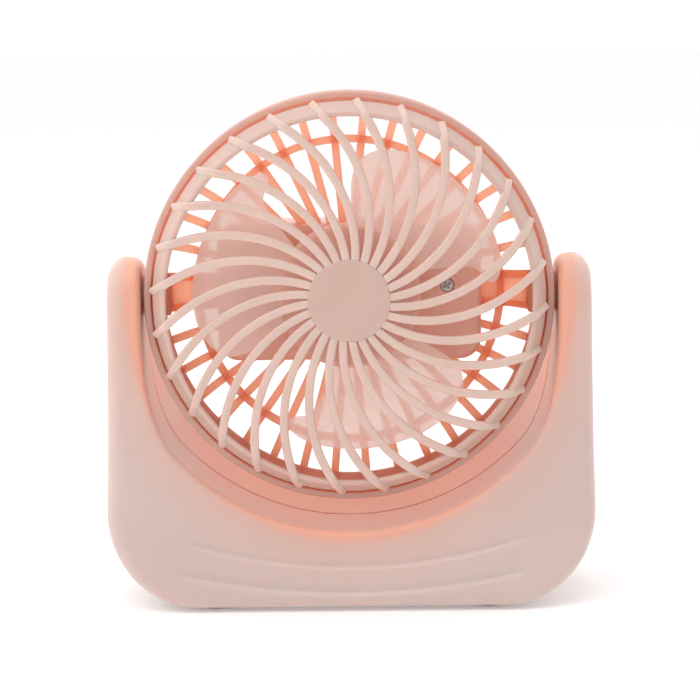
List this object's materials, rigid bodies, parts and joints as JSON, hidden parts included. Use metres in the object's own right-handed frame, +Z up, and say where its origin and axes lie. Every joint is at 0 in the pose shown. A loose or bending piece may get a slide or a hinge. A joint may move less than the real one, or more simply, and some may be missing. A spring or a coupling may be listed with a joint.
{
  "type": "desk fan",
  "caption": "Small tilting desk fan with a swirled round grille, a round head on side pivots and a hollow U-shaped stand with a round bowl.",
  "frame": {"origin": "on the table, under the centre of the fan's overall box", "axes": "+Z up, the fan's front faces -Y, +X to the right of a viewer in front of it"},
  "size_m": [0.1388, 0.057, 0.145],
  "materials": {
    "shell_plastic": "satin moulded pale pink",
    "salmon_plastic": "satin moulded salmon pink",
    "frosted_plastic": "frosted, lets light through",
    "screw_steel": "zinc plated",
    "can_steel": "drawn, nickel plated",
    "rubber": "matte moulded",
    "nylon": "natural nylon",
    "magnet": "dark sintered ferrite",
    "bronze": "sintered, oil filled",
    "copper": "enamelled winding",
    "cell_wrap": "shrink sleeve",
    "lead_red": "flexible insulation",
    "lead_black": "flexible insulation",
    "board": "lacquered laminate",
    "black_plastic": "moulded",
    "led_resin": "clear cast resin"
  },
  "bodies": {
    "stand": {"stand_front_shell": "shell_plastic", "stand_back_shell": "shell_plastic", "stand_screws": "screw_steel", "rubber_feet": "rubber"},
    "head": {"front_grille": "shell_plastic", "rear_shell": "salmon_plastic", "motor_cover": "salmon_plastic", "cover_screws": "screw_steel", "motor_can": "can_steel", "motor_end_cap": "nylon", "motor_magnets": "magnet", "front_bush": "bronze", "rear_bush": "bronze", "battery_cell": "cell_wrap", "battery_tabs": "can_steel", "battery_leads": "lead_red", "circuit_board": "board", "switch_body": "black_plastic", "indicator_led": "led_resin", "usb_socket": "can_steel", "socket_tongue": "black_plastic", "motor_leads": "lead_black", "pivot_pins": "nylon", "pivot_screws": "screw_steel"},
    "impeller": {"impeller": "frosted_plastic", "motor_shaft": "screw_steel", "motor_rotor": "copper"},
    "power_button": {"power_button": "frosted_plastic", "switch_plunger": "nylon"}
  },
  "joints": [
    {"name": "head_tilt", "type": "hinge", "parent": "stand", "child": "head", "pos_m": [0, 0, 0.087], "axis": [1, 0, 0], "continuous": true},
    {"name": "impeller_spin", "type": "hinge", "parent": "head", "child": "impeller", "pos_m": [0, 0, 0.087], "axis": [0, -1, 0], "continuous": true},
    {"name": "power_button_press", "type": "slide", "parent": "head", "child": "power_button", "axis": [0, -1, 0], "range_m": [0, 0.0006], "stiffness_N_per_m": 800}
  ]
}
